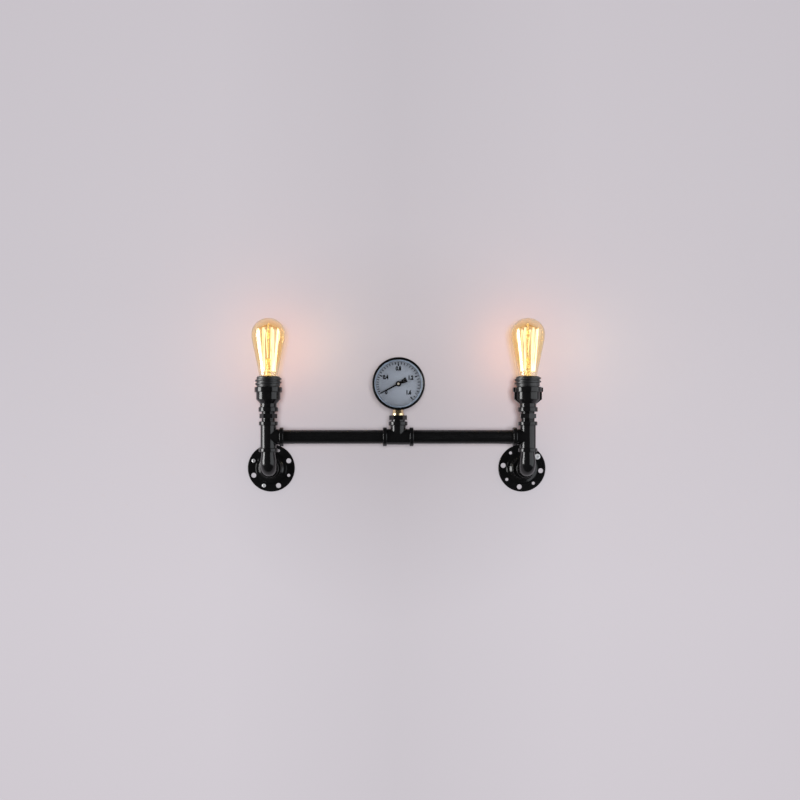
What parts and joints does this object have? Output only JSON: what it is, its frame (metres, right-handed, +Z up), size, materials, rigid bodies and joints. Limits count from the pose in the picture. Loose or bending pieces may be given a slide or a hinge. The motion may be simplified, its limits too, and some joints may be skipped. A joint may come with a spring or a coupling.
{
  "type": "wall light",
  "caption": "Industrial pipe wall light: upright filament lamps on pipe risers, joined by a crossbar that carries a round pressure gauge.",
  "frame": {"origin": "on the wall plane, midway between the axes of the two wall flanges", "axes": "+X to the right as seen from the room, +Y into the wall, +Z up; the object lies at y = 0 and below"},
  "size_m": [0.594, 0.1125, 0.3376],
  "materials": {
    "black_paint": "semi-gloss black paint over cast iron",
    "black_phenolic": "satin moulded phenolic",
    "ceramic": "white glazed porcelain",
    "brass": "turned brass",
    "cap_brass": "bright rolled brass",
    "cap_insulator": "black glass",
    "solder": "solder",
    "amber_glass": "clear amber glass",
    "stem_glass": "clear glass",
    "support_wire": "drawn wire",
    "filament": "lit carbon filament",
    "zinc_steel": "bright zinc plate",
    "lead_sleeve": "matt sleeve",
    "gauge_black": "black enamel",
    "rubber": "pale grey, matt",
    "window_glass": "flat clear glass",
    "dial_white": "printed matt enamel, plain numbers",
    "pointer_black": "matt black",
    "steel": "turned steel",
    "phosphor_bronze": "drawn bronze"
  },
  "bodies": {
    "frame": {"left_wall_flange": "black_paint", "left_wall_nipple": "black_paint", "left_street_elbow": "black_paint", "left_riser_tee": "black_paint", "left_crossbar": "black_paint", "left_hex_nipple": "black_paint", "left_bell_reducer": "black_paint", "left_lampholder_shell": "black_phenolic", "left_lampholder_insert": "ceramic", "left_screw_shell": "brass", "left_centre_contact": "brass", "left_terminals": "brass", "right_wall_flange": "black_paint", "right_wall_nipple": "black_paint", "right_street_elbow": "black_paint", "right_riser_tee": "black_paint", "right_crossbar": "black_paint", "right_hex_nipple": "black_paint", "right_bell_reducer": "black_paint", "right_lampholder_shell": "black_phenolic", "right_lampholder_insert": "ceramic", "right_screw_shell": "brass", "right_centre_contact": "brass", "right_terminals": "brass", "wall_screws": "zinc_steel", "lamp_leads": "lead_sleeve", "centre_tee": "black_paint", "gauge_bushing": "black_paint", "gauge_stem": "brass", "gauge_case": "gauge_black", "gauge_bezel": "gauge_black", "gauge_gasket": "rubber", "gauge_glass": "window_glass", "gauge_dial": "dial_white", "movement_back_plate": "brass", "movement_front_plate": "brass", "movement_pillars": "brass", "bourdon_tube": "phosphor_bronze", "tube_tip": "brass", "hairspring": "phosphor_bronze"},
    "left_bulb": {"left_bulb_glass": "amber_glass", "left_bulb_cap": "cap_brass", "left_bulb_cap_insulator": "cap_insulator", "left_bulb_contact": "solder", "left_bulb_stem": "stem_glass", "left_bulb_supports": "support_wire", "left_bulb_filament": "filament"},
    "right_bulb": {"right_bulb_glass": "amber_glass", "right_bulb_cap": "cap_brass", "right_bulb_cap_insulator": "cap_insulator", "right_bulb_contact": "solder", "right_bulb_stem": "stem_glass", "right_bulb_supports": "support_wire", "right_bulb_filament": "filament"},
    "pointer": {"gauge_pointer": "pointer_black", "pointer_bush": "brass", "pointer_arbor": "steel"},
    "sector": {"sector_gear": "brass", "sector_arbor": "steel"},
    "link": {"sector_link": "brass"}
  },
  "joints": [
    {"name": "left_bulb_unscrew", "type": "slide", "parent": "frame", "child": "left_bulb", "axis": [0, 0, 1], "range_m": [0, 0.045]},
    {"name": "right_bulb_unscrew", "type": "slide", "parent": "frame", "child": "right_bulb", "axis": [0, 0, 1], "range_m": [0, 0.045]},
    {"name": "pointer_turn", "type": "hinge", "parent": "frame", "child": "pointer", "pos_m": [0, -0.088, 0.1629], "axis": [0, 1, 0], "range_deg": [0, 255], "stiffness_Nm_per_rad": 0.002},
    {"name": "sector_swing", "type": "hinge", "parent": "frame", "child": "sector", "pos_m": [0, -0.076, 0.13646], "axis": [0, 1, 0], "range_deg": [-26, 0.5]},
    {"name": "link_swing", "type": "hinge", "parent": "sector", "child": "link", "pos_m": [0.01, -0.0778, 0.13646], "axis": [0, 1, 0], "range_deg": [-0.5, 26]}
  ],
  "couplings": [
    {"joint": "sector_swing", "follows": "pointer_turn", "ratio": -0.1},
    {"joint": "link_swing", "follows": "pointer_turn", "ratio": 0.1}
  ]
}
